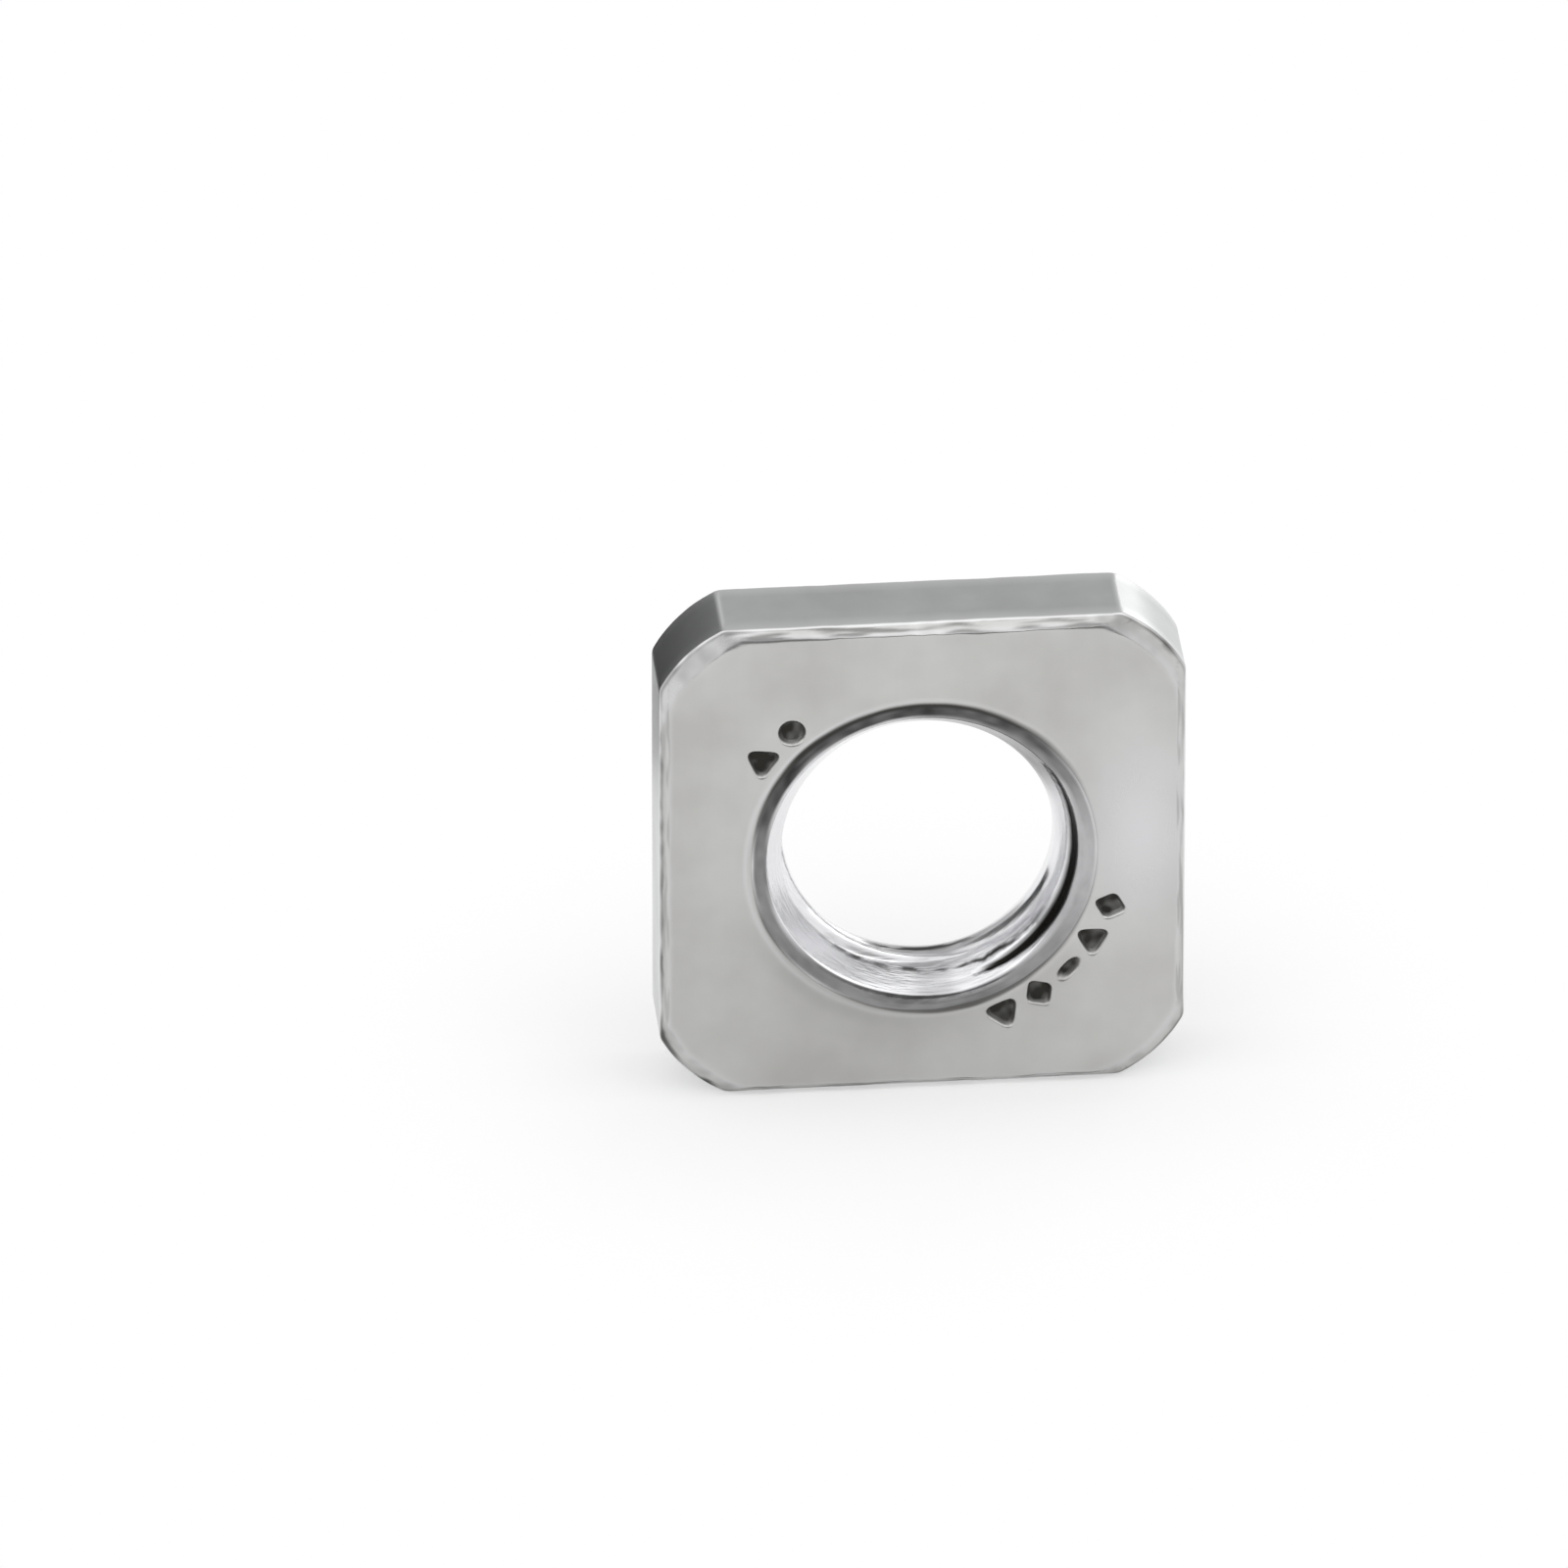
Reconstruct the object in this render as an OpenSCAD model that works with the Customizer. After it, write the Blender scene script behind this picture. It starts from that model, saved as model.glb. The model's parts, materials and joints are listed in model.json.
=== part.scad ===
// Thin square nut in stainless steel, standing on one of its four flats.
// The thread axis runs along Y and the marked front face looks along -Y.
// The origin lies under the middle of the nut, on the surface that it stands on.

/* [Thread] */
// Nominal diameter of the thread
thread_d = 8; // [6:0.5:9]
// Pitch of the thread
thread_pitch = 1.25; // [0.75:0.25:1.5]

/* [Body] */
// Width across the flats
across_flats = 13; // [12:0.5:20]
// Thickness from face to face
thickness = 2.6; // [2.4:0.1:6]
// Length that a rounded corner takes from each flat
corner_leg = 1.6; // [1:0.1:2.4]
// Radius of a rounded corner
corner_r = 3.6; // [2.6:0.1:6]
// Edge break along the straight edges of both faces
edge_break = 0.25; // [0.1:0.05:0.5]
// Width of the chamfer along a rounded corner, across the face
corner_chamfer = 0.45; // [0.3:0.05:0.9]
// Angle of the corner chamfer to the face
chamfer_angle = 30; // [20:1:40]

/* [Bore] */
// Width of the shallow lip round each mouth of the bore
lip_w = 0.4; // [0.1:0.05:0.6]
// Depth of the shallow lip
lip_depth = 0.1; // [0.05:0.05:0.2]
// Width of the countersink between the lip and the thread
sink_w = 0.55; // [0.3:0.05:0.8]
// Depth of the countersink below the lip
sink_depth = 0.85; // [0.3:0.05:0.9]

/* [Hidden] */
$fn = 96;
// How far a cutting form runs past the face that it cuts
overrun = 0.2;
half_width = across_flats / 2;
half_thick = thickness / 2;
// Height of the thread's flanks, from the metric thread's 60 degree triangle
flank_height = 5 / 8 * thread_pitch * sqrt(3) / 2;
minor_r = thread_d / 2 - flank_height;
sink_r = minor_r + sink_w;
lip_r = sink_r + lip_w;
// Centre of a rounded corner's arc, the same along both flats
corner_axis = half_width - (corner_leg + sqrt(2 * corner_r ^ 2 - corner_leg ^ 2)) / 2;
chamfer_depth = corner_chamfer * tan(chamfer_angle);

// Disc with a chamfer at each face, its rim is the form of one rounded corner
module corner_disc() {
    cut_half = half_thick + overrun;
    cut_r = corner_r - corner_chamfer - overrun / tan(chamfer_angle);
    rotate_extrude()
        polygon([
            [0, -cut_half], [cut_r, -cut_half],
            [corner_r, -half_thick + chamfer_depth], [corner_r, half_thick - chamfer_depth],
            [cut_r, cut_half], [0, cut_half]
        ]);
}

// What is taken off one corner of the square blank
module corner_waste() {
    side = half_width - corner_axis + overrun;
    translate([corner_axis, corner_axis, 0])
        difference() {
            translate([0, 0, -half_thick - overrun / 2])
                cube([side, side, thickness + overrun]);
            corner_disc();
        }
}

// Bar with the four long edges broken, lying along Y before it is turned
module broken_bar(turn) {
    inner_width = half_width - edge_break;
    inner_thick = half_thick - edge_break;
    rotate([90, 0, turn])
        linear_extrude(across_flats + 2 * overrun, center = true)
            polygon([
                [-half_width, -inner_thick], [-inner_width, -half_thick],
                [inner_width, -half_thick], [half_width, -inner_thick],
                [half_width, inner_thick], [inner_width, half_thick],
                [-inner_width, half_thick], [-half_width, inner_thick]
            ]);
}

// Bore at the thread's minor diameter, with a countersink and a lip at each mouth
module bore() {
    rotate_extrude()
        polygon([
            [0, -half_thick - overrun],
            [lip_r, -half_thick - overrun],
            [lip_r, -half_thick],
            [sink_r, -half_thick + lip_depth],
            [minor_r, -half_thick + lip_depth + sink_depth],
            [minor_r, half_thick - lip_depth - sink_depth],
            [sink_r, half_thick - lip_depth],
            [lip_r, half_thick],
            [lip_r, half_thick + overrun],
            [0, half_thick + overrun]
        ]);
}

module square_nut() {
    color([0.74, 0.75, 0.74])
        translate([0, 0, half_width])
            rotate([90, 0, 0])
                difference() {
                    intersection() {
                        broken_bar(0);
                        broken_bar(90);
                    }
                    for (quarter = [0:3])
                        rotate(90 * quarter)
                            corner_waste();
                    bore();
                }
}

square_nut();
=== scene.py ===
import json
import math

import bpy
import numpy as np
from mathutils import Matrix, Vector, noise


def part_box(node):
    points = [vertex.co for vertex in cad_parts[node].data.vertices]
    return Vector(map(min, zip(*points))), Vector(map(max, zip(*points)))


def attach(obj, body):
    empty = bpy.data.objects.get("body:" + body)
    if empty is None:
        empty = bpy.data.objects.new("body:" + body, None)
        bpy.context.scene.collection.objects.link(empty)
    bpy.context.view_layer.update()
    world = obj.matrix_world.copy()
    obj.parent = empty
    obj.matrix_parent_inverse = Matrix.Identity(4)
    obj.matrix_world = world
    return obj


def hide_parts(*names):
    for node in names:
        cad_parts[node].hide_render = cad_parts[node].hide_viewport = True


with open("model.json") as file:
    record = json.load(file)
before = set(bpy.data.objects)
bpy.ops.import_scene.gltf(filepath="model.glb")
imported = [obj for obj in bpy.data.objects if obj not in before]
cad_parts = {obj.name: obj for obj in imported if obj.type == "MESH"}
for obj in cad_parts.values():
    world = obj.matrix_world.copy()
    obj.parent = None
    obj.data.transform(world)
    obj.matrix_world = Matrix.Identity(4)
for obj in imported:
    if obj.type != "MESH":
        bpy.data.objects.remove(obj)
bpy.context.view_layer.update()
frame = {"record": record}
nutLow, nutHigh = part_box("square_nut")
threadMount = next(m for m in frame["record"]["mounts"] if m["name"] == "thread")
mm = 0.001  # the nut's sizes are in millimetres, Blender works in metres
print("frame loaded, nut box in mm:", [round(v / mm, 3) for v in nutHigh - nutLow])


def linear(hexColour):
    # sRGB hex to the linear colour that a shader takes
    parts = [int(hexColour[i:i + 2], 16) / 255 for i in (1, 3, 5)]
    return tuple(c / 12.92 if c <= 0.04045 else ((c + 0.055) / 1.055) ** 2.4 for c in parts) + (1.0,)


def addNode(tree, kind, settings=None, links=None):
    node = tree.nodes.new(kind)
    for key, value in (settings or {}).items():
        if isinstance(key, int) or key in node.inputs:
            node.inputs[key].default_value = value
        else:
            setattr(node, key, value)
    for key, source in (links or {}).items():
        tree.links.new(source, node.inputs[key])
    return node


def newMaterial(name):
    # an empty material, ready for its own nodes
    material = bpy.data.materials.new(name)
    material.use_nodes = True
    material.node_tree.nodes.clear()
    return material, material.node_tree


def addObject(name, data):
    piece = bpy.data.objects.new(name, data)
    bpy.context.collection.objects.link(piece)
    return piece


def roundMax(a, b, size):
    # larger of two heights, with a soft corner where they cross
    near = np.maximum(size - np.abs(a - b), 0.0) / size
    return np.maximum(a, b) + near * near * size / 4


def hump(value, middle, width, power=2):
    # 1 at the middle and near 0 two widths away, flatter on top with a higher power
    return np.exp(-((value - middle) / width) ** power)


def ramp(value):
    return np.clip(value, 0, 1)


def wrap(angle):
    # the same angle between -pi and pi
    return (angle + math.pi) % (2 * math.pi) - math.pi


def wander(x, z, grain, seed):
    # smooth noise between -1 and 1 over the nut's plane, grain in mm
    return np.array([noise.noise(Vector((a / grain, b / grain, seed))) for a, b in zip(x, z)])


# sizes of the pressed blank, in mm and degrees
blank = {
    "width": (nutHigh.x - nutLow.x) / mm,
    "thickness": (nutHigh.y - nutLow.y) / mm,
    "axisHeight": threadMount["pos_m"][2] / mm,
    "cornerLeg": 1.6,
    "cornerRadius": 3.6,
    "edgeBreak": 0.25,
    "cornerChamfer": 0.45,
    "chamferAngle": 30,
    "edgeRound": 0.05,  # tumbled radius on every outer edge
    "faceRound": 0.1,  # the break runs softly into the face
    "sideRound": 0.06,  # softer line between a flat and a corner
    "lipRound": 0.04,
    "edgeRagged": 0.03,  # how far the break wanders
    "raggedShares": (0.4, 0.6),  # coarse and fine
    "breakDrift": 0.12,  # share by which its width drifts along an edge
    "coneRagged": 1.2,
    "faceWave": 0.002,  # the pressed face is never quite flat
    "softness": (0.5, 1.4, 0.06),  # middle, swing and least share of faceRound
    "noise": {  # grain in mm, place in the noise
        "edgeCoarse": (1.1, 0),
        "edgeFine": (0.35, 4),
        "breakDrift": (2.6, 8),
        "coneDrift": (0.9, 12),
        "softness": (1.7, 16),
        "faceWave": (2.4, 20),
        "edgeShadeGaps": (0.5, 50),
        "edgeShadeWidth": (0.3, 54),
        "scuffFine": (0.3, 60),
        "scuffCoarse": (0.9, 64),
    },
}

# bright places on the faces: worn edges, and painted highlights outside the lip, on the upper corner
# chamfers, in a patch on the right and where a flat meets a corner, in mm
wearAndPaintedLight = {
    "edge": (0.5, 0.05, 0.07),  # strength, how far down the break, width
    "rim": (0.4, 0.25, 0.16, 0.06),  # painted highlight outside the lip: strength, swing from right to left, distance outside the lip, width
    "upperLeft": 0.7,  # share of painted highlight on the upper corner chamfers
    "upperRight": 0.25,
    "chamferFade": 0.05,
    # a painted highlight on the right of the face
    "patch": {"strength": 0.9, "place": (5.4, 0.6), "reach": (1.3, 2.6)},
    "wallLoss": 0.5,  # share that is gone where a soft edge has become the flat
    "cornerLine": 0.05,  # width of the painted highlight where a flat meets a corner
}

# painted shadow under the bore, painted shade low on the face, on the lower chamfers and in dark lines along
# some edges, with streaks and scuffs, in mm and radians
dirtAndShade = {
    "underShadeMiddle": -1.83,  # bearing under the bore
    "underShade": (0.13, 2.2, 0.85),  # painted shadow under the bore: strength, fade outward, spread
    # a ring of painted shadow just outside the lip, low on the left
    "lipShadow": {"strength": 0.1, "radius": 4.6, "width": 0.25, "turn": -0.35, "spread": 0.5},
    "lowShade": {"strength": 0.06, "start": 1.5, "lean": 0.4, "fade": 6},  # painted shade, darker low on the left
    "streak": {"length": 0.9, "width": 0.07, "base": 0.18, "contrast": 1.2, "most": 0.55,
               "sides": 0.5, "fade": 0.04},  # less on the left and right edges
    # scuffs on the chamfers, with painted shade added on the lower ones
    "scuffs": {"base": 0.04, "fine": 0.22, "coarse": 0.2, "lower": 0.1},
    "edgeShadePlain": 0.05,  # width away from the painted dark lines
    "edgeShadeReach": 1.9,  # in its own widths, inward from the outline
    "edgeShadeGaps": (0.6, 0.6),
    "edgeShadeSwing": 0.6,
    "backEdgeShade": 0.45,  # fewer of them behind
    "edgeShades": [  # middle and half span in degrees, strength, width
        (45, 9.5, 1.0, 0.06), (135, 9.5, 0.8, 0.05), (180, 34, 0.9, 0.06),
        (-45, 9.5, 1.0, 0.06), (-135, 11, 1.0, 0.11),
    ],
}

# plain punch marks on a ring round the bore: wedges, diamonds, a dash and a dot
marks = {
    "ringRadius": 4.9,
    "depth": 0.16,
    "wall": 0.1,
    "rim": 0.009,  # metal that the punch pushes up
    "rimWidth": 0.045,
    "punchRound": 0.17,
    "wornCorner": 1.55,  # a punch reaches this many inner radii
    "dark": (0.96, 0.25),  # strength and patchiness of the painted shade in a mark
    "hollowShade": (0.22, 30.5),  # its grain in mm and place in the noise
    "forms": {  # sides, inner radius, turn in degrees, stretch across
        "wedge": (3, 0.32, 90, 1.0),
        "point": (3, 0.31, -90, 1.0),
        "diamond": (4, 0.34, 45, 0.9),
        "dash": (4, 0.2, 0, 2.2),
        "dot": (12, 0.4, 0, 1.0),
    },
    "places": [
        (131.5, "dot"), (144.0, "wedge"),
        (-66.0, "wedge"), (-54.0, "diamond"), (-42.5, "dash"), (-31.0, "point"), (-19.0, "diamond"),
    ],
}

# tapped bore with a metric 60 degree thread, in mm and radians
bore = {
    "minorRadius": threadMount["dims"]["r_mm"],
    "majorRadius": 4.0,
    "pitch": 1.25,
    "lipWidth": 0.4,
    "lipDepth": 0.1,
    "sinkWidth": 0.55,
    "sinkDepth": 0.85,
    "lipOval": (0.03, 0.6),  # the lip is a little wider low on the right
    "lipRagged": 0.012,
    "lipNoiseRadius": 5,  # circle on which its noise is read
    "lowSide": (0.08, -1.25, 0.5),  # how far the countersink runs low, bearing, spread
    "grooveAtBottom": 0.87,  # depth of the groove under the axis, sets where the helix starts
    "helixDrift": 0.012,
    "edgeRound": 0.035,
    "sinkRound": 0.16,  # the countersink runs softly into the thread
    "crestRound": 0.12,  # worn thread crest
    "runIn": (0.75, 1.25),  # depths between which the groove grows to its full form
    "runOutDepth": 0.06,  # the groove's shallow end, open in the countersink low on the right
    "runOut": {"bearing": -0.26, "spread": 0.98, "depth": 0.345, "slope": 0.055, "bend": 0.04,
               "bendSlope": 0.16, "halfWidth": (0.04, 0.16), "ends": 4},
    "noise": {  # grain round the bore and along it in mm, place in the noise
        "helix": (0.6, math.inf, 3.1),
        "lip": (0.7, math.inf, 17.5),
        "frontShade": (0.42, 0.14, 1.9),
        "jagCoarse": (0.45, math.inf, 12.7),
        "jagFine": (0.15, math.inf, 13.9),
        "lowShade": (0.9, 0.15, 5.3),
        "farEdgeShade": (0.45, 0.12, 21.3),
        "patchCoarse": (1.2, 0.4, 7.7),
        "patchFine": (0.3, 0.05, 9.4),
    },
}

# painted shade in the lip and the bore: a dark ring in the lip, darker thread roots, a ragged dark line
# along the groove's front edge where it starts, darker low, on the right, at the top and in the crescent, a
# dark band on the left and a ragged dark line at the far edge; depths in mm, bearings and spreads in radians
paintedShade = {
    "width": 0.4,
    "back": 0.4,  # less of the painted shade at the back mouth
    "fade": 0.08,
    "softest": (1.5, 0.7, 0.4),  # wider fade on the upper right: share, bearing, spread
    "ring": [  # bearing in degrees, strength, how far it lies outward in mm
        (-180, 0.76, -0.02), (-155, 0.78, 0.05), (-130, 0.78, 0.0), (-105, 0.7, 0.06), (-75, 0.82, 0.16),
        (-45, 0.68, 0.07), (0, 0.47, 0.0), (20, 0.56, 0.0), (45, 0.94, 0.07), (65, 0.96, 0.08),
        (105, 0.96, 0.08), (135, 0.97, 0.12), (165, 0.84, 0.04),
    ],
    "groove": {"strength": 0.75, "gain": 5, "start": 1.6, "bearing": -1.4, "spread": 0.8},
    "frontShade": {"contrast": 3, "least": 0.45, "extra": 1.2, "worst": [(-1.97, 0.3), (-0.82, 0.36)],
             "ahead": 0.13, "aheadOfCut": 0.3, "width": 0.075, "bearing": -1.42, "spread": 0.92,
             "jag": (0.06, 0.03)},
    "leftShade": {"strength": 0.8, "depth": 0.98, "width": 0.08, "bearing": 3.1, "spread": 0.22},
    "lowShade": {"strength": 0.32, "swing": 0.22, "bearing": -1.45, "spread": 0.55},
    "rightShade": {"strength": 0.5, "bearing": -0.25, "spread": 0.66, "depth": 0.4, "fade": 0.06},
    "farEdgeShade": {"contrast": 3, "base": 0.9, "depth": 1.36, "width": 0.16, "bearing": -1.6, "spread": 0.5},
    "upper": {"strength": 0.72, "bearing": 1.05, "spread": 0.62},
    # painted shade in the crescent where the groove runs out
    "runOut": 1.12,
    "patchy": (0.97, 0.14, 0.08),  # middle, coarse swing, fine swing
}

# rings and columns of the polar grid, in mm and degrees
grid = {
    "plainStep": 1.2,
    "cornerStep": 0.45,
    "cornerMargin": 6,
    "markStep": 0.4,
    "markSpans": [(124.0, 150.0), (287.0, 348.0)],
    "markReach": 5.56,  # the punch marks end inside this radius
    "breakOffsets": (-0.17, -0.1, -0.06, -0.035, -0.015, 0.0, 0.015, 0.035, 0.06, 0.08),
    "between": (0.2, 0.4, 0.6, 0.8),
    "edgeSteps": (0.3, 0.6, 0.85, 1.0),
    "frontRings": 35,
    "backRings": 9,
    "boreRings": 66,
    "lipDepths": [0.02, 0.04, 0.065, 0.09],
    "boreStart": 0.115,
    "frontSeed": 1.7,
    "backSeed": 41.3,
}


# columns stand closer over the corners and the punch marks
def gridAngles():
    half = blank["width"] / 2
    cornerLine = math.degrees(math.atan2(half - blank["cornerLeg"], half))
    nearCorner = cornerLine - grid["cornerMargin"]
    angles, angle = [], 0.0
    while angle < 360:
        angles.append(angle)
        if any(first < angle < last for first, last in grid["markSpans"]):
            angle += grid["markStep"]
        elif nearCorner < angle % 90 < 90 - nearCorner:
            angle += grid["cornerStep"]
        else:
            angle += grid["plainStep"]
    return np.radians(angles)


def cornerAxis():
    # centre of a rounded corner's arc, the same across and up
    leg, radius = blank["cornerLeg"], blank["cornerRadius"]
    return blank["width"] / 2 - (leg + math.sqrt(2 * radius ** 2 - leg ** 2)) / 2


def outlineRadius(theta, half, radius):
    # distance from the thread's axis to a square with rounded corners
    axis = cornerAxis()
    c, s = np.abs(np.cos(theta)), np.abs(np.sin(theta))
    flat = half / np.maximum(c, s)
    arc = axis * (c + s) + np.sqrt(radius ** 2 - (axis * (c - s)) ** 2)
    arc = np.where(np.minimum(c, s) > 0.4 * np.maximum(c, s), arc, flat + 1.0)  # arcs belong to the corners
    return -roundMax(-flat, -arc, blank["sideRound"])


def markDistance(theta, r):
    # signed distance to the nearest punch mark, negative inside
    far = 9.0  # beyond any mark
    best = np.full_like(r, far)
    for angle, form in marks["places"]:
        sides, inner, turn, stretch = marks["forms"][form]
        bearing = theta - math.radians(angle)
        across = r * np.sin(-bearing) / stretch
        along = r * np.cos(bearing) - marks["ringRadius"]
        d = np.full_like(r, -far)
        for k in range(sides):
            way = math.radians(turn + 360 * k / sides)
            d = roundMax(d, across * math.cos(way) - along * math.sin(way) - inner, marks["punchRound"])
        d = roundMax(d, np.hypot(across, along) - inner * marks["wornCorner"], marks["punchRound"])
        best = np.minimum(best, d)
    return best


def boreNoise(name, x, z, depth=0.0):
    grain, along, place = bore["noise"][name]
    return wander(x, z, grain, place + depth / along)


def lipEdge(theta):
    # outer radius of the lip, never quite round
    base = bore["minorRadius"] + bore["sinkWidth"] + bore["lipWidth"]
    swing, turn = bore["lipOval"]
    circle = bore["lipNoiseRadius"]
    ragged = boreNoise("lip", circle * np.cos(theta), circle * np.sin(theta))
    return base + swing * np.cos(theta + turn) + bore["lipRagged"] * ragged


def lipShadeShare(theta, inward):
    # painted shade in the lip, darkest at the top and lightest on the right, at a distance inward from the
    # lip's outer edge
    bearings, strengths, shifts = zip(*paintedShade["ring"])
    strength = np.interp(np.degrees(theta), bearings, strengths, period=360)
    place = inward + np.interp(np.degrees(theta), bearings, shifts, period=360)
    share, bearing, spread = paintedShade["softest"]
    fade = paintedShade["fade"] * (1 + share * hump(theta, bearing, spread))
    return strength * ramp(place / fade + 0.5) * ramp((paintedShade["width"] - place) / fade + 0.5)


class Side:
    # one of the two faces: how deep it lies below the full thickness, how bright from wear and painted
    # highlights, and how dark from dirt and painted shade
    def __init__(self, theta, seed, marked):
        half = blank["width"] / 2
        self.theta, self.seed, self.marked = theta, seed, marked
        self.edge = outlineRadius(theta, half, blank["cornerRadius"])
        x, z = self.edge * np.cos(theta), self.edge * np.sin(theta)
        coarse, fine = blank["raggedShares"]
        ragged = self.noise("edgeCoarse", x, z) * coarse + self.noise("edgeFine", x, z) * fine
        drift = 1 + blank["breakDrift"] * self.noise("breakDrift", x, z)
        self.breakStart = half - blank["edgeBreak"] * drift + blank["edgeRagged"] * ragged
        coneDrift = blank["coneRagged"] * self.noise("coneDrift", x, z)
        self.coneStart = blank["cornerRadius"] - blank["cornerChamfer"]
        self.coneStart += blank["edgeRagged"] * (ragged + coneDrift)
        self.start = outlineRadius(theta, self.breakStart, self.coneStart)
        self.uneven = self.noise("softness", x, z)
        self.lipRadius = lipEdge(theta)
        self.setEdgeShade(x, z)

    def noise(self, name, x, z):
        grain, place = blank["noise"][name]
        return wander(x, z, grain, self.seed + place)

    def setEdgeShade(self, x, z):
        # painted shade: a dark ragged line along some of the edges
        self.edgeShade = np.zeros_like(self.theta)
        self.edgeShadeWidth = np.full_like(self.theta, dirtAndShade["edgeShadePlain"])
        for middle, reach, share, width in dirtAndShade["edgeShades"]:
            here = hump(wrap(self.theta - math.radians(middle)), 0, math.radians(reach), 6)
            self.edgeShade += share * here
            self.edgeShadeWidth += (width - dirtAndShade["edgeShadePlain"]) * here
        base, swing = dirtAndShade["edgeShadeGaps"]
        self.edgeShade *= ramp(base + swing * self.noise("edgeShadeGaps", x, z))
        self.edgeShade *= 1.0 if self.marked else dirtAndShade["backEdgeShade"]
        self.edgeShadeWidth *= 1 + dirtAndShade["edgeShadeSwing"] * self.noise("edgeShadeWidth", x, z)

    def depth(self, r):
        x, z = r * np.cos(self.theta), r * np.sin(self.theta)
        edgeBreak = np.maximum(np.abs(x), np.abs(z)) - self.breakStart
        axis = cornerAxis()
        reach = np.hypot(np.maximum(np.abs(x) - axis, 0), np.maximum(np.abs(z) - axis, 0))
        cone = (reach - self.coneStart) * math.tan(math.radians(blank["chamferAngle"]))
        outer = roundMax(edgeBreak, cone, blank["edgeRound"])
        lip = (self.lipRadius - r) * bore["lipDepth"] / bore["lipWidth"]
        middle, swing, least = blank["softness"]
        soft = blank["faceRound"] * np.clip(middle + swing * self.uneven, least, 1)
        deep = roundMax(outer, np.zeros_like(r), soft)
        deep = roundMax(deep, lip, blank["lipRound"])
        deep = deep + blank["faceWave"] * self.noise("faceWave", x, z)
        brightening = self.brightening(r, x, z, outer, cone)
        tone = self.tone(r, x, z, edgeBreak, cone)
        if self.marked:
            d = markDistance(self.theta, r)
            punched = ramp(-d / marks["wall"])
            punched = punched * punched * (3 - 2 * punched)
            deep = deep + marks["depth"] * punched
            deep = deep - marks["rim"] * hump(d, marks["rimWidth"] / 2, marks["rimWidth"])
            # painted shade in the punched hollows
            dark, patchy = marks["dark"]
            tone = np.maximum(tone, punched * (dark + patchy * wander(x, z, *marks["hollowShade"])))
        # painted shade in the lip ring
        shadedLip = lipShadeShare(self.theta, self.lipRadius - r) * (1 if self.marked else paintedShade["back"])
        return deep, brightening, np.maximum(tone, shadedLip)

    def brightening(self, r, x, z, outer, cone):
        strength, middle, width = wearAndPaintedLight["edge"]
        edge = strength * hump(outer, middle, width)
        # painted highlight in a ring outside the lip, stronger on the left
        strength, swing, offset, width = wearAndPaintedLight["rim"]
        rim = (strength - swing * np.cos(self.theta)) * hump(r - self.lipRadius, offset, width)
        # painted highlight on the upper corner chamfers
        corner = np.where(z > 0, np.where(x < 0, wearAndPaintedLight["upperLeft"], wearAndPaintedLight["upperRight"]), 0)
        corner = corner * ramp(cone / wearAndPaintedLight["chamferFade"])
        # painted highlight in a patch on the right of the face
        patch = wearAndPaintedLight["patch"]
        (px, pz), (rx, rz) = patch["place"], patch["reach"]
        patched = patch["strength"] * hump(x, px, rx) * hump(z, pz, rz)
        return ramp(np.maximum.reduce([edge, rim, corner, patched]))

    def tone(self, r, x, z, edgeBreak, cone):
        # painted shadow under the bore and painted shade low on the face first, then streaks on the breaks,
        # scuffs with painted shade on the lower chamfers, and painted dark lines along the outline
        low = wrap(self.theta - dirtAndShade["underShadeMiddle"])
        strength, fade, spread = dirtAndShade["underShade"]
        lipShadow, lowShade, streak, scuffs = dirtAndShade["lipShadow"], dirtAndShade["lowShade"], dirtAndShade["streak"], dirtAndShade["scuffs"]
        # painted shadow under the bore and a ring of it just outside the lip
        tone = strength * np.exp(-(r - self.lipRadius) / fade) * hump(low, 0, spread)
        ring = hump(r, lipShadow["radius"], lipShadow["width"])
        tone += lipShadow["strength"] * ring * hump(low, lipShadow["turn"], lipShadow["spread"])
        # painted shade, darker towards the bottom left
        tone += lowShade["strength"] * ramp((lowShade["start"] - z - lowShade["lean"] * x) / lowShade["fade"])

        upright = np.abs(z) > np.abs(x)  # on the upper or the lower edge
        run = np.where(upright, x, z) / streak["length"]
        lines = [noise.noise(Vector((a, b / streak["width"], self.seed))) for a, b in zip(run, edgeBreak)]
        lines = np.clip(streak["base"] + streak["contrast"] * np.array(lines), 0, streak["most"])
        lines = lines * np.where(upright, 1, streak["sides"])
        tone = np.maximum(tone, lines * ramp(edgeBreak / streak["fade"]))

        scuffed = scuffs["base"] + scuffs["fine"] * self.noise("scuffFine", x, z)
        scuffed += scuffs["coarse"] * self.noise("scuffCoarse", x, z)
        # painted shade on the lower chamfers
        scuffed += np.where(z < 0, scuffs["lower"], 0)
        tone = np.maximum(tone, ramp(cone / wearAndPaintedLight["chamferFade"]) * ramp(scuffed))
        # painted shade in a dark line along the outline
        return np.maximum(tone, self.edgeShade * ramp((r - self.edge) / self.edgeShadeWidth + dirtAndShade["edgeShadeReach"]))


def faceRings(side, fineRings):
    # radii from the mouth of the bore out to the outline, close together where the edge break starts
    inner, finish = side.lipRadius, np.full_like(side.theta, grid["markReach"])
    radii = [inner + (finish - inner) * t for t in np.linspace(0, 1, fineRings)]
    offsets = grid["breakOffsets"]
    first, last = side.start + offsets[0], side.start + offsets[-1]
    radii += [finish + (first - finish) * t for t in grid["between"]]
    radii += [side.start + offset for offset in offsets]
    radii += [last + (side.edge - blank["edgeRound"] - last) * t for t in grid["between"] + (1.0,)]
    return [(r, *side.depth(r)) for r in radii]


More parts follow.
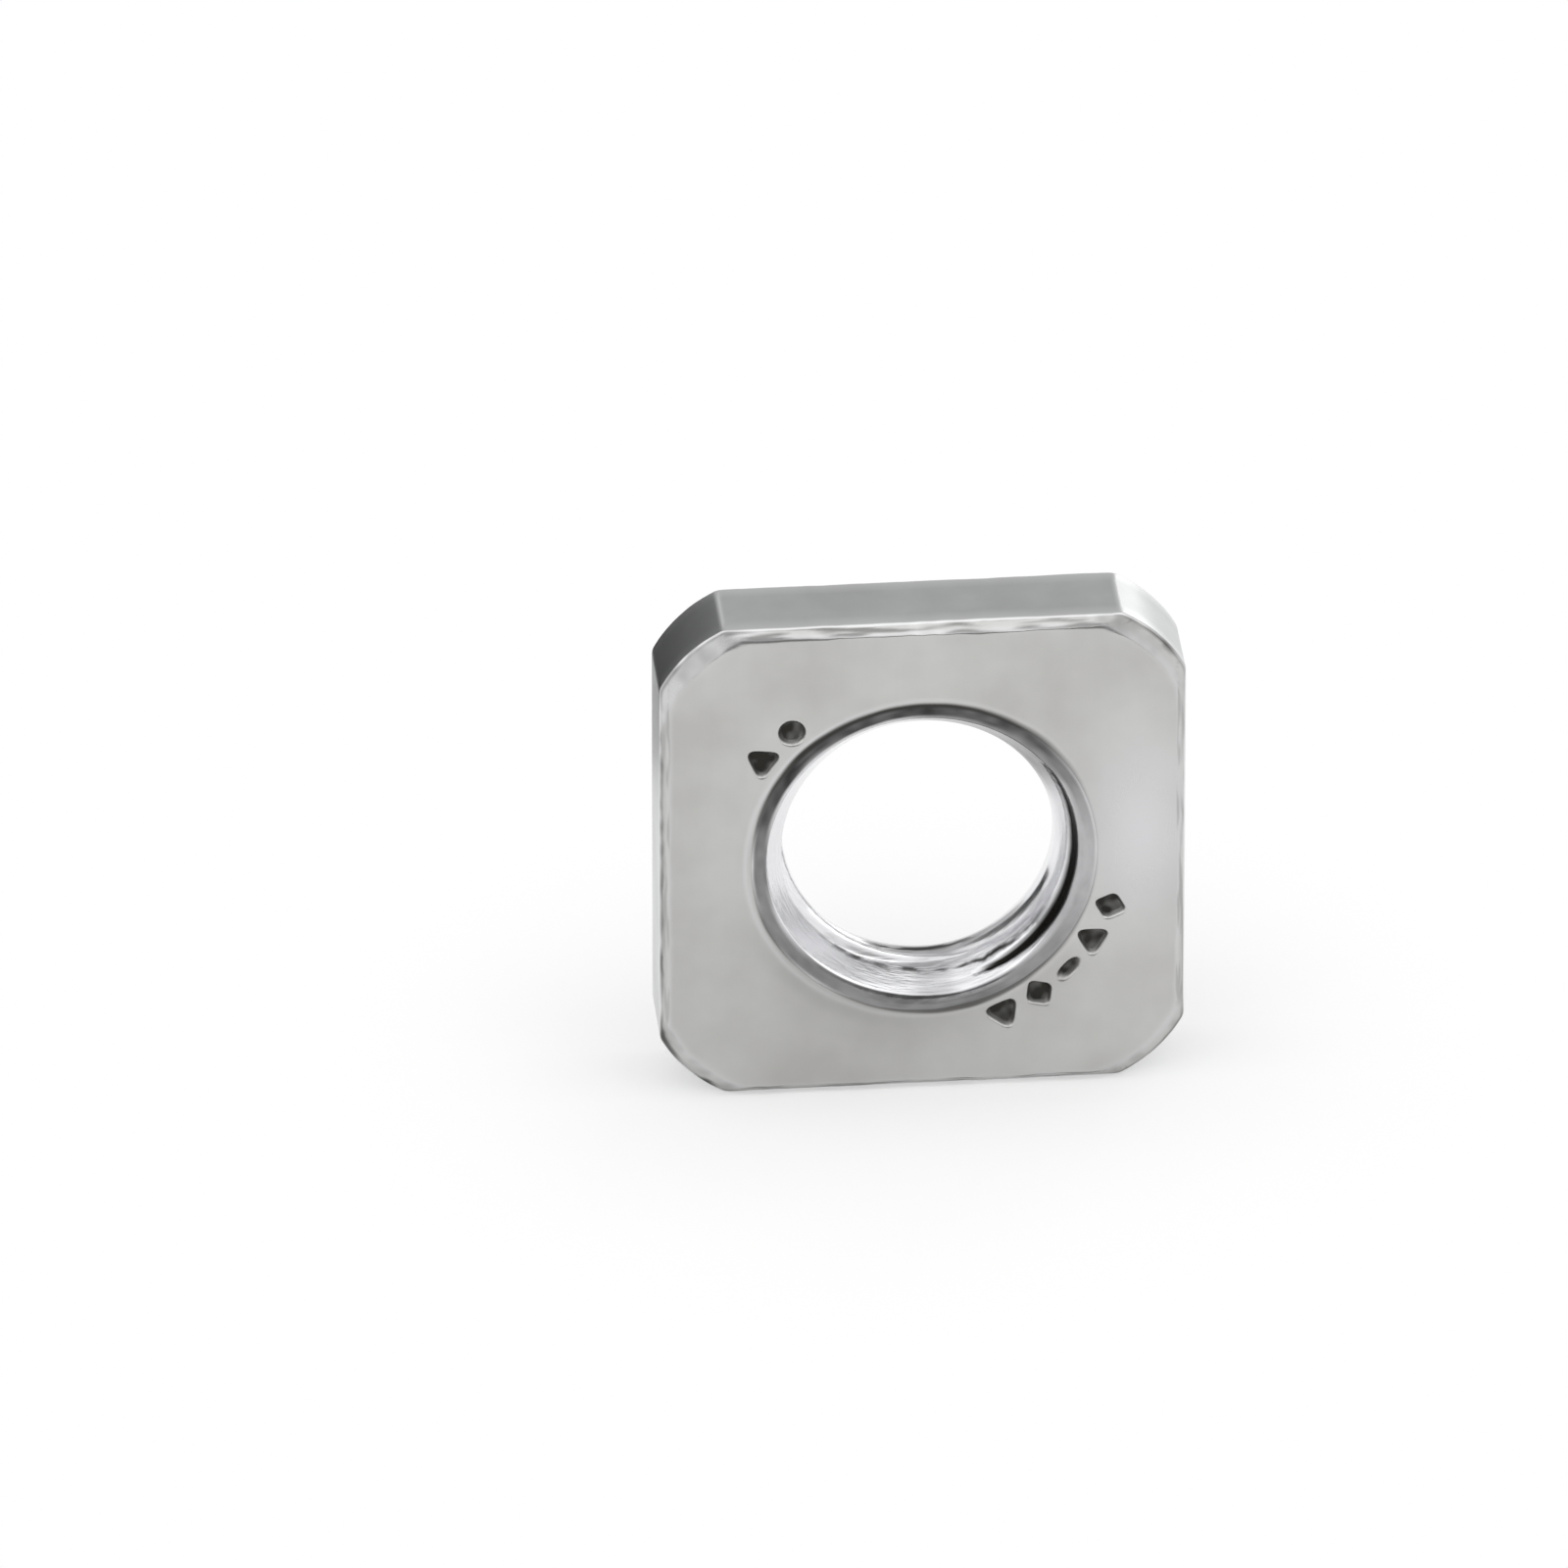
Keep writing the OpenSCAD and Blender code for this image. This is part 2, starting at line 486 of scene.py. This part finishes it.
def wallRings(side):
    # a soft corner between the broken edge and the wall
    q = blank["edgeRound"]
    start, corner = side.edge - q, side.depth(side.edge)[0]
    startDepth = side.depth(start)[0]
    rings = []
    for t in grid["edgeSteps"]:
        r = (1 - t) ** 2 * start + (1 - (1 - t) ** 2) * side.edge
        d = (1 - t) ** 2 * startDepth + 2 * t * (1 - t) * corner + t * t * (corner + q)
        brightening = np.full_like(r, 1 - wearAndPaintedLight["wallLoss"] * t)
        # the painted dark line runs onto the soft corner
        rings.append((r, d, brightening, side.edgeShade * (1 - t) ** 0.5))
    return rings


def runOutShare(around, depth):
    # 1 in the middle of the groove's shallow end, a crescent seen from the front
    end = bore["runOut"]
    turn = around - end["bearing"]
    spread = ramp(1 - (turn / end["spread"]) ** 2)
    middle = end["depth"] - end["slope"] * turn - end["bendSlope"] * np.maximum(around - end["bend"], 0)
    least, more = end["halfWidth"]
    share = ramp(2 - 2 * np.abs(depth - middle) / (least + more * spread))
    return share * ramp(spread * end["ends"])


def grooveFrontShade(x, z, around, depth, start, cut):
    # painted shade: a ragged dark line along the front edge of the groove where it starts
    frontShade = paintedShade["frontShade"]
    worst = sum(hump(around, bearing, spread, 4) for bearing, spread in frontShade["worst"])
    line = boreNoise("frontShade", x, z, depth) * frontShade["contrast"] + frontShade["extra"] * worst
    line = np.clip(line, frontShade["least"], 1)
    coarse, fine = frontShade["jag"]
    jag = coarse * boreNoise("jagCoarse", x, z) + fine * boreNoise("jagFine", x, z)
    line = line * hump(depth - start + frontShade["aheadOfCut"] * cut + jag, -frontShade["ahead"], frontShade["width"])
    return line * hump(around, frontShade["bearing"], frontShade["spread"], 6)


def boreShade(theta, around, x, z, depth):
    # painted shade that follows the bearing and the depth alone: the lip ring, a band on the left, darker
    # low, on the right near the mouth and at the top, and a ragged line at the far edge
    front = depth < blank["thickness"] / 2
    nearest = min(depth, blank["thickness"] - depth)
    lipShadeInBore = lipShadeShare(theta, np.full_like(theta, nearest * bore["lipWidth"] / bore["lipDepth"]))
    lipShadeInBore = lipShadeInBore * (1 if front else paintedShade["back"])
    out, lowShade, rightShade, farEdgeShade, upper = (paintedShade[k] for k in ("leftShade", "lowShade", "rightShade", "farEdgeShade", "upper"))
    leftShade = out["strength"] * hump(depth, out["depth"], out["width"])  # where the groove ends on the left
    leftShade = leftShade * hump(theta, out["bearing"], out["spread"], 4)
    low = lowShade["strength"] + lowShade["swing"] * boreNoise("lowShade", x, z, depth)
    low = low * hump(around, lowShade["bearing"], lowShade["spread"])
    right = rightShade["strength"] * hump(around, rightShade["bearing"], rightShade["spread"], 4)
    right = right * ramp((rightShade["depth"] - depth) / rightShade["fade"])
    farEdge = ramp(boreNoise("farEdgeShade", x, z, depth) * farEdgeShade["contrast"] + farEdgeShade["base"])
    farEdge = farEdge * hump(depth, farEdgeShade["depth"], farEdgeShade["width"])
    farEdge = farEdge * hump(around, farEdgeShade["bearing"], farEdgeShade["spread"], 4)
    high = upper["strength"] * hump(around, upper["bearing"], upper["spread"], 6) * front
    return np.maximum.reduce([lipShadeInBore, leftShade, low, right, farEdge, high])


def boreRadius(theta, depth):
    # radius of the tapped hole at a depth below the front face, and how dark it is there
    thick = blank["thickness"]
    x, z = np.cos(theta) * bore["minorRadius"], np.sin(theta) * bore["minorRadius"]
    around = wrap(theta)
    plain = np.full_like(theta, bore["minorRadius"])
    fall, bearing, spread = bore["lowSide"]
    for d in (depth, thick - depth):
        sink = bore["minorRadius"] + bore["sinkWidth"] + fall * hump(around, bearing, spread)
        sink -= (d - bore["lipDepth"]) * bore["sinkWidth"] / bore["sinkDepth"]
        lip = lipEdge(theta) - d * bore["lipWidth"] / bore["lipDepth"]
        plain = roundMax(plain, sink, bore["sinkRound"])
        plain = roundMax(plain, lip, bore["edgeRound"])

    # right-hand helix, the groove's flat is an eighth of the pitch and its flanks stand at 60 degrees
    start = bore["grooveAtBottom"] - bore["pitch"] * (around + math.pi / 2) / (2 * math.pi)
    start = start + bore["helixDrift"] * boreNoise("helix", x, z)
    centre = start + np.round((depth - start) / bore["pitch"]) * bore["pitch"]
    first, last = bore["runIn"]
    cut = ramp((np.minimum(centre, thick - centre) - first) / (last - first))  # the thread fades in
    full = bore["majorRadius"] - bore["minorRadius"]
    flank = np.maximum(np.abs(depth - centre) - bore["pitch"] / 16, 0) * math.sqrt(3)
    threaded = roundMax(plain, bore["majorRadius"] - full * (1 - cut) - flank, bore["crestRound"])

    # painted shade in the thread's roots, most low in the bore
    rootShade = paintedShade["groove"]
    inGroove = ramp((threaded - plain) / full * rootShade["gain"] - rootShade["start"])
    inGroove = inGroove * hump(around, rootShade["bearing"], rootShade["spread"]) * rootShade["strength"]
    runOut = runOutShare(around, depth)
    frontShade = grooveFrontShade(x, z, around, depth, start, cut)
    # the crescent gets painted shade on top of its shallow groove
    dark = np.maximum.reduce([inGroove, paintedShade["runOut"] * runOut, frontShade, boreShade(theta, around, x, z, depth)])
    middle, coarse, fine = paintedShade["patchy"]
    patchy = middle + coarse * boreNoise("patchCoarse", x, z, depth)
    patchy = patchy + fine * boreNoise("patchFine", x, z, depth)
    return threaded + bore["runOutDepth"] * runOut, ramp(dark * patchy)


def nutRings(theta):
    # closed round trip of rings: radius, height along the thread axis, wear with painted highlights,
    # darkness with painted shade, finish
    front = Side(theta, grid["frontSeed"], True)
    back = Side(theta, grid["backSeed"], False)
    thick, half = blank["thickness"], blank["thickness"] / 2
    none = np.zeros_like(theta)
    frontFace = reversed(faceRings(front, grid["frontRings"]))
    rings = [(r, d - half, brightening, tone, 0) for r, d, brightening, tone in frontFace]
    deep = np.linspace(grid["boreStart"], thick - grid["boreStart"], grid["boreRings"])
    for d in grid["lipDepths"] + list(deep) + [thick - d for d in reversed(grid["lipDepths"])]:
        r, dark = boreRadius(theta, d)
        rings.append((r, np.full_like(theta, d - half), none, dark, 2))
    rings += [(r, half - d, brightening, tone, 0) for r, d, brightening, tone in faceRings(back, grid["backRings"])]

    frontWall, backWall = wallRings(front), wallRings(back)
    rings += [(r, half - d, brightening, tone, 1) for r, d, brightening, tone in backWall]
    x, z = np.abs(front.edge * np.cos(theta)), np.abs(front.edge * np.sin(theta))
    gap = np.minimum(x, z) - (blank["width"] / 2 - blank["cornerLeg"])
    line = hump(gap, 0, wearAndPaintedLight["cornerLine"])  # painted highlight where a flat meets a corner
    backEnd, frontEnd = half - backWall[-1][1], frontWall[-1][1] - half
    for t in grid["between"]:
        rings.append((front.edge, backEnd * (1 - t) + frontEnd * t, line, none, 1))
    rings += [(r, d - half, brightening, tone, 1) for r, d, brightening, tone in reversed(frontWall)]
    return rings


def buildNut():
    theta = gridAngles()
    rings = nutRings(theta)
    count, steps = len(rings), len(theta)
    points = np.empty((count, steps, 3))
    for i, ring in enumerate(rings):
        r, y = ring[:2]
        points[i] = np.stack([r * np.cos(theta), y, r * np.sin(theta) + blank["axisHeight"]], 1)
    i, j = np.meshgrid(np.arange(count), np.arange(steps), indexing="ij")
    here, there = i * steps, (i + 1) % count * steps
    nextStep = (j + 1) % steps
    quads = np.stack([here + j, there + j, there + nextStep, here + nextStep], -1)
    mesh = bpy.data.meshes.new("threaded_nut")
    mesh.from_pydata((points.reshape(-1, 3) * mm).tolist(), [], quads.reshape(-1, 4).tolist())
    for name, column in (("wearAndHighlight", 2), ("paintedShadeAndDirt", 3)):
        layer = mesh.attributes.new(name, "FLOAT", "POINT")
        layer.data.foreach_set("value", np.concatenate([ring[column] for ring in rings]))
    finishes = [max(rings[k][4], rings[(k + 1) % count][4]) for k in range(count)]
    mesh.polygons.foreach_set("material_index", np.repeat(finishes, steps))
    mesh.polygons.foreach_set("use_smooth", np.ones(count * steps, dtype=bool))
    mesh.update()
    print("nut mesh:", len(mesh.vertices), "points,", len(mesh.polygons) * 2, "triangles")
    return addObject("threaded_nut", mesh)


# stainless steel 304, barrel tumbled: a soft even satin with faint cloudy patches and hair scratches
def tumbledStainless():
    material, tree = newMaterial("stainless_tumbled")
    place = addNode(tree, "ShaderNodeTexCoord").outputs["Object"]
    cloud = addNode(tree, "ShaderNodeTexNoise", {"Scale": 1 / (2.4 * mm), "Detail": 3.0}, {"Vector": place})
    tint = addNode(tree, "ShaderNodeValToRGB", {}, {"Fac": cloud.outputs["Fac"]})
    tint.color_ramp.elements[0].position, tint.color_ramp.elements[1].position = 0.35, 0.68
    tint.color_ramp.elements[0].color = linear("#BDBCBA")
    tint.color_ramp.elements[1].color = linear("#C9C9C7")
    # dents and scratches of the barrel, drawn coarser than real ones so that they show
    grain = addNode(tree, "ShaderNodeTexNoise", {"Scale": 1 / (0.11 * mm), "Detail": 2.0}, {"Vector": place})
    slant = addNode(tree, "ShaderNodeMapping", {"Rotation": (0, 0.6, 0), "Scale": (1, 1, 0.04)},
                    {"Vector": place})
    scratch = addNode(tree, "ShaderNodeTexNoise", {"Scale": 1 / (0.08 * mm), "Detail": 1.0},
                      {"Vector": slant.outputs["Vector"]})
    # painted shade and dirt from the mesh darken the colour toward the dark end
    dark = addNode(tree, "ShaderNodeAttribute", {"attribute_name": "paintedShadeAndDirt"}).outputs["Fac"]
    brightening = addNode(tree, "ShaderNodeAttribute", {"attribute_name": "wearAndHighlight"}).outputs["Fac"]
    # worn edges and painted highlights lighten the colour toward this
    brightened = addNode(tree, "ShaderNodeMix", {"data_type": "RGBA", 7: linear("#D7D7D9")},
                   {0: brightening, 6: tint.outputs["Color"]})
    colour = addNode(tree, "ShaderNodeMix", {"data_type": "RGBA", 7: linear("#383734")},
                     {0: dark, 6: brightened.outputs[2]})
    rough = addNode(tree, "ShaderNodeMapRange",
                    {"From Min": 0.3, "From Max": 0.7, "To Min": 0.3, "To Max": 0.34},
                    {"Value": scratch.outputs["Fac"]})
    smooth = addNode(tree, "ShaderNodeMix", {3: 0.25}, {0: brightening, 2: rough.outputs["Result"]})
    marked = addNode(tree, "ShaderNodeMix", {3: 0.55}, {0: dark, 2: smooth.outputs[0]})
    bump = addNode(tree, "ShaderNodeBump", {"Strength": 0.5, "Distance": 0.002 * mm},
                   {"Height": grain.outputs["Fac"]})
    shader = addNode(tree, "ShaderNodeBsdfPrincipled", {"Metallic": 1.0},
                     {"Base Color": colour.outputs[2], "Roughness": marked.outputs[0],
                      "Normal": bump.outputs["Normal"]})
    addNode(tree, "ShaderNodeOutputMaterial", {}, {"Surface": shader.outputs["BSDF"]})
    return material


# stainless steel 304, rolled strip: the flats keep a fine grain along their length
def rolledStainless():
    material, tree = newMaterial("stainless_rolled")
    place = addNode(tree, "ShaderNodeTexCoord").outputs["Object"]
    cloud = addNode(tree, "ShaderNodeTexNoise", {"Scale": 1 / (1.6 * mm), "Detail": 3.0}, {"Vector": place})
    tint = addNode(tree, "ShaderNodeValToRGB", {}, {"Fac": cloud.outputs["Fac"]})
    tint.color_ramp.elements[0].position, tint.color_ramp.elements[1].position = 0.35, 0.68
    tint.color_ramp.elements[0].color = linear("#C2C4C3")
    tint.color_ramp.elements[1].color = linear("#CDD0CF")
    brightening = addNode(tree, "ShaderNodeAttribute", {"attribute_name": "wearAndHighlight"}).outputs["Fac"]
    # worn edges and painted highlights lighten the colour toward this
    brightened = addNode(tree, "ShaderNodeMix", {"data_type": "RGBA", 7: linear("#EFF0EF")},
                   {0: brightening, 6: tint.outputs["Color"]})
    # painted shade and dirt from the mesh darken the colour toward the dark end
    dark = addNode(tree, "ShaderNodeAttribute", {"attribute_name": "paintedShadeAndDirt"}).outputs["Fac"]
    colour = addNode(tree, "ShaderNodeMix", {"data_type": "RGBA", 7: linear("#383734")},
                     {0: dark, 6: brightened.outputs[2]})
    # rolling grain, drawn coarser than the real one so that it shows
    lines = addNode(tree, "ShaderNodeMapping", {"Scale": (0.03, 1, 0.03)}, {"Vector": place})
    grain = addNode(tree, "ShaderNodeTexNoise", {"Scale": 1 / (0.06 * mm), "Detail": 2.0},
                    {"Vector": lines.outputs["Vector"]})
    rough = addNode(tree, "ShaderNodeMapRange",
                    {"From Min": 0.3, "From Max": 0.7, "To Min": 0.28, "To Max": 0.3},
                    {"Value": grain.outputs["Fac"]})
    bump = addNode(tree, "ShaderNodeBump", {"Strength": 0.15, "Distance": 0.0003 * mm},
                   {"Height": grain.outputs["Fac"]})
    shader = addNode(tree, "ShaderNodeBsdfPrincipled", {"Metallic": 1.0},
                     {"Base Color": colour.outputs[2], "Roughness": rough.outputs["Result"],
                      "Normal": bump.outputs["Normal"]})
    addNode(tree, "ShaderNodeOutputMaterial", {}, {"Surface": shader.outputs["BSDF"]})
    return material


# stainless steel 304, tapped: bright freshly cut metal with fine tool lines round the bore
def tappedStainless():
    material, tree = newMaterial("stainless_tapped")
    place = addNode(tree, "ShaderNodeTexCoord").outputs["Object"]
    # tool lines of the tap, drawn coarser than real ones so that they show
    lines = addNode(tree, "ShaderNodeMapping", {"Scale": (0.12, 1, 0.12)}, {"Vector": place})
    cut = addNode(tree, "ShaderNodeTexNoise", {"Scale": 1 / (0.05 * mm), "Detail": 3.0},
                  {"Vector": lines.outputs["Vector"]})
    tint = addNode(tree, "ShaderNodeValToRGB", {}, {"Fac": cut.outputs["Fac"]})
    tint.color_ramp.elements[0].position, tint.color_ramp.elements[1].position = 0.3, 0.7
    tint.color_ramp.elements[0].color = linear("#EAEAEC")
    tint.color_ramp.elements[1].color = linear("#F4F4F6")
    # painted shade in the bore darkens the colour toward the dark end
    dark = addNode(tree, "ShaderNodeAttribute", {"attribute_name": "paintedShadeAndDirt"}).outputs["Fac"]
    colour = addNode(tree, "ShaderNodeMix", {"data_type": "RGBA", 7: linear("#1E1D1B")},
                     {0: dark, 6: tint.outputs["Color"]})
    rough = addNode(tree, "ShaderNodeMapRange",
                    {"From Min": 0.3, "From Max": 0.7, "To Min": 0.14, "To Max": 0.24},
                    {"Value": cut.outputs["Fac"]})
    bump = addNode(tree, "ShaderNodeBump", {"Strength": 0.7, "Distance": 0.004 * mm},
                   {"Height": cut.outputs["Fac"]})
    shader = addNode(tree, "ShaderNodeBsdfPrincipled", {"Metallic": 1.0},
                     {"Base Color": colour.outputs[2], "Roughness": rough.outputs["Result"],
                      "Normal": bump.outputs["Normal"]})
    addNode(tree, "ShaderNodeOutputMaterial", {}, {"Surface": shader.outputs["BSDF"]})
    return material


nut = buildNut()
for makeFinish in (tumbledStainless, rolledStainless, tappedStainless):
    nut.data.materials.append(makeFinish())
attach(nut, "root")
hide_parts("square_nut")
print("nut dressed and riding on the frame")

# pale floor, four soft lamps and a grey card, sizes in metres
studio = {
    "floorHalf": 0.6,
    "shadowReach": (0.0065, 0.0155),  # the floor fades to plain white between these radii
    "nearWhite": 0.35,  # share of plain white right under the nut
    "frontSky": 0.95,
    "backSky": 0.58,
    "skyTurn": (-0.2, 0.6),  # the sky goes from front to back level between these
    "dimWay": (0.08, -0.98, 0.18),  # where the camera stands and the room is dim
    "dimShare": 0.88,
    "dimEdge": (0.84, 0.96),
    "lamps": [  # place, side of the square, watts
        ("left_high", (-0.32, -0.06, 0.36), 0.56, 0.5),
        ("right_high", (0.32, -0.06, 0.36), 0.56, 0.5),
        ("overhead", (0.03, -0.1, 0.4), 0.62, 0.18),
        ("back_right", (0.28, 0.42, 0.13), 0.22, 0.18),
    ],
    "cardSpan": (-0.03, -0.0098),  # a grey card behind on the left gives the upper left corner its depth
    "cardBack": 0.0157,
    "cardHeight": 0.034,
    "cardFade": (0.004, 0.02),  # it grows paler between these heights
}


# matt white paper: plain white away from the nut, and only its shadow near it
def buildFloor():
    half = studio["floorHalf"]
    mesh = bpy.data.meshes.new("floor")
    corners = [(-half, -half, 0), (half, -half, 0), (half, half, 0), (-half, half, 0)]
    mesh.from_pydata(corners, [], [(0, 1, 2, 3)])
    material, tree = newMaterial("paper_matt_white")
    place = addNode(tree, "ShaderNodeTexCoord").outputs["Object"]
    reach = addNode(tree, "ShaderNodeVectorMath", {"operation": "LENGTH"}, {0: place}).outputs["Value"]
    near, far = studio["shadowReach"]
    fade = addNode(tree, "ShaderNodeMapRange",
                   {"From Min": near, "From Max": far, "To Min": studio["nearWhite"],
                    "interpolation_type": "SMOOTHSTEP"},
                   {"Value": reach}).outputs["Result"]
    rays = addNode(tree, "ShaderNodeLightPath").outputs
    seen = addNode(tree, "ShaderNodeMath", {"operation": "MAXIMUM"},
                   {0: rays["Is Camera Ray"], 1: rays["Is Glossy Ray"]}).outputs["Value"]
    seen = addNode(tree, "ShaderNodeMath", {"operation": "MAXIMUM"},
                   {0: seen, 1: rays["Is Transmission Ray"]}).outputs["Value"]
    share = addNode(tree, "ShaderNodeMath", {"operation": "MULTIPLY"}, {0: fade, 1: seen}).outputs["Value"]
    paper = addNode(tree, "ShaderNodeBsdfDiffuse", {"Color": linear("#F8F8F8")})
    white = addNode(tree, "ShaderNodeEmission", {"Color": linear("#FFFFFF"), "Strength": 1.0})
    mix = addNode(tree, "ShaderNodeMixShader", {}, {0: share, 1: paper.outputs[0], 2: white.outputs[0]})
    addNode(tree, "ShaderNodeOutputMaterial", {}, {"Surface": mix.outputs["Shader"]})
    mesh.materials.append(material)
    floor = addObject("floor", mesh)


# soft room light, brighter in front than behind and dim round the camera
def buildSky():
    world = bpy.data.worlds.new("studio")
    bpy.context.scene.world = world
    world.use_nodes = True
    tree = world.node_tree
    tree.nodes.clear()
    place = addNode(tree, "ShaderNodeTexCoord").outputs["Generated"]
    way = addNode(tree, "ShaderNodeSeparateXYZ", {}, {0: place}).outputs
    turnFrom, turnTo = studio["skyTurn"]
    level = addNode(tree, "ShaderNodeMapRange",
                    {"From Min": turnFrom, "From Max": turnTo, "To Min": studio["frontSky"],
                     "To Max": studio["backSky"], "interpolation_type": "SMOOTHSTEP"},
                    {"Value": way["Y"]}).outputs["Result"]
    toward = addNode(tree, "ShaderNodeVectorMath", {"operation": "DOT_PRODUCT", 1: studio["dimWay"]},
                     {0: place}).outputs["Value"]
    dimFrom, dimTo = studio["dimEdge"]
    dim = addNode(tree, "ShaderNodeMapRange",
                  {"From Min": dimFrom, "From Max": dimTo, "To Min": 1.0, "To Max": 1 - studio["dimShare"],
                   "interpolation_type": "SMOOTHSTEP"},
                  {"Value": toward}).outputs["Result"]
    level = addNode(tree, "ShaderNodeMath", {"operation": "MULTIPLY"}, {0: level, 1: dim}).outputs["Value"]
    below = addNode(tree, "ShaderNodeMath", {"operation": "LESS_THAN", 1: 0.0},
                    {0: way["Z"]}).outputs["Value"]
    level = addNode(tree, "ShaderNodeMix", {3: 1.0}, {0: below, 2: level}).outputs[0]  # white like the floor
    sky = addNode(tree, "ShaderNodeBackground", {"Color": linear("#FFFFFF")}, {"Strength": level})
    addNode(tree, "ShaderNodeOutputWorld", {}, {"Surface": sky.outputs["Background"]})


def buildLamps():
    for name, place, side, power in studio["lamps"]:
        data = bpy.data.lights.new(name, "AREA")
        data.shape, data.size = "SQUARE", side
        data.energy = power
        lamp = addObject(name, data)
        lamp.location = place
        lamp.rotation_euler = (-Vector(place)).to_track_quat("-Z", "Y").to_euler()
        lamp.visible_camera = False


# matt grey card, darker at its foot: only the metal mirrors it
def buildCard():
    (left, right), back, top = studio["cardSpan"], studio["cardBack"], studio["cardHeight"]
    mesh = bpy.data.meshes.new("dark_card")
    corners = [(left, back, 0), (right, back, 0), (right, back, top), (left, back, top)]
    mesh.from_pydata(corners, [], [(0, 1, 2, 3)])
    material, tree = newMaterial("card_matt_grey")
    place = addNode(tree, "ShaderNodeTexCoord").outputs["Object"]
    height = addNode(tree, "ShaderNodeSeparateXYZ", {}, {0: place}).outputs["Z"]
    foot, pale = studio["cardFade"]
    fade = addNode(tree, "ShaderNodeMapRange", {"From Min": foot, "From Max": pale}, {"Value": height})
    grey = addNode(tree, "ShaderNodeMix", {"data_type": "RGBA", 6: linear("#363636"), 7: linear("#7A7A7A")},
                   {0: fade.outputs["Result"]})
    paint = addNode(tree, "ShaderNodeBsdfDiffuse", {}, {"Color": grey.outputs[2]})
    addNode(tree, "ShaderNodeOutputMaterial", {}, {"Surface": paint.outputs["BSDF"]})
    mesh.materials.append(material)
    card = addObject("dark_card", mesh)
    card.visible_camera = False
    card.visible_diffuse = False
    card.visible_shadow = False


# camera: pixels are of the 1600 x 1600 frame
shot = {
    "azimuth": 5.3,  # the camera stands to the left by this angle
    "elevation": 29.0,
    "pixelsPerMm": 41.46,
    "frameSide": 1600,
    "borePixel": (942.3, 875.5),  # where the front mouth's centre falls
    "distance": 0.78,
    "sensor": 36.0,
    "clip": (0.01, 10.0),
}


def buildCamera():
    turn, rise = math.radians(shot["azimuth"]), math.radians(shot["elevation"])
    look = Vector((math.sin(turn) * math.cos(rise), math.cos(turn) * math.cos(rise), -math.sin(rise)))
    right = Vector((math.cos(turn), -math.sin(turn), 0))
    up = right.cross(look)
    mouth = Vector((0, nutLow.y, blank["axisHeight"] * mm))
    half = shot["frameSide"] / 2
    pixel = mm / shot["pixelsPerMm"]
    acrossPixels, downPixels = shot["borePixel"]
    centre = mouth + right * (half - acrossPixels) * pixel + up * (downPixels - half) * pixel
    data = bpy.data.cameras.new("camera")
    data.sensor_width = shot["sensor"]
    data.lens = shot["sensor"] * shot["distance"] / (shot["frameSide"] * pixel)
    data.clip_start, data.clip_end = shot["clip"]
    camera = addObject("camera", data)
    facing = Matrix((right, up, -look)).transposed().to_4x4()
    camera.matrix_world = Matrix.Translation(centre - look * shot["distance"]) @ facing
    bpy.context.scene.camera = camera


buildFloor()
buildSky()
buildLamps()
buildCard()
buildCamera()
bpy.context.scene.view_settings.view_transform = "Standard"
print("floor, light and camera in place")
